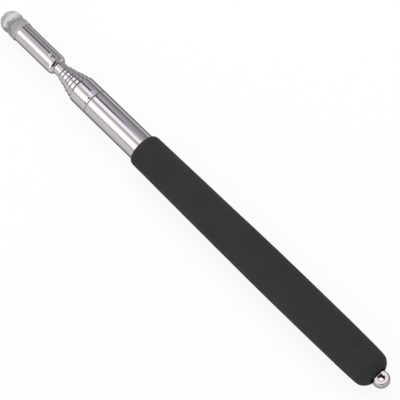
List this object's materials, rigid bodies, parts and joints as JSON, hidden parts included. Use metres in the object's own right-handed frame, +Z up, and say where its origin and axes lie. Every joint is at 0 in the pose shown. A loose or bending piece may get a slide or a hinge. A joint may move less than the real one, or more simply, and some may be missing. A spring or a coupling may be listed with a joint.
{
  "type": "telescopic pointer",
  "caption": "Closed telescopic pointer: nested tubes in a handle tube with a foam grip, a soft stylus dome in a ferrule at the front and a drilled ball for a wrist cord at the rear.",
  "frame": {"origin": "under the middle of the closed pointer's length and width, in the plane that its grip lies on", "axes": "+X along the pointer from the stylus dome to the drilled ball, +Z up, square to the ball's two milled flats"},
  "size_m": [0.1836, 0.0134, 0.0129],
  "materials": {
    "polished_steel": "polished",
    "nickel": "polished",
    "brass": "satin",
    "bronze": "satin",
    "black_foam": "matte",
    "grey_stylus": "matte",
    "nylon": "satin"
  },
  "bodies": {
    "handle": {"handle_tube": "polished_steel", "front_collar": "polished_steel", "grip_sleeve": "black_foam", "end_plug": "brass", "lanyard_eyelet": "nickel"},
    "section_6": {"stage_6": "polished_steel", "bush_6": "bronze"},
    "section_5": {"stage_5": "polished_steel", "bush_5": "bronze"},
    "section_4": {"stage_4": "polished_steel", "bush_4": "bronze"},
    "section_3": {"stage_3": "polished_steel", "bush_3": "bronze"},
    "section_2": {"stage_2": "polished_steel", "bush_2": "bronze"},
    "section_1": {"stage_1": "polished_steel", "bush_1": "bronze", "tip_ferrule": "polished_steel", "ferrule_adapter": "brass", "tip_dome": "grey_stylus", "tip_core": "nylon", "tip_retaining_ring": "brass"}
  },
  "joints": [
    {"name": "section_6_slide", "type": "slide", "parent": "handle", "child": "section_6", "axis": [-1, 0, 0], "range_m": [0, 0.1157]},
    {"name": "section_5_slide", "type": "slide", "parent": "section_6", "child": "section_5", "axis": [-1, 0, 0], "range_m": [0, 0.1184]},
    {"name": "section_4_slide", "type": "slide", "parent": "section_5", "child": "section_4", "axis": [-1, 0, 0], "range_m": [0, 0.1135]},
    {"name": "section_3_slide", "type": "slide", "parent": "section_4", "child": "section_3", "axis": [-1, 0, 0], "range_m": [0, 0.1081]},
    {"name": "section_2_slide", "type": "slide", "parent": "section_3", "child": "section_2", "axis": [-1, 0, 0], "range_m": [0, 0.1033]},
    {"name": "section_1_slide", "type": "slide", "parent": "section_2", "child": "section_1", "axis": [-1, 0, 0], "range_m": [0, 0.0983]}
  ]
}
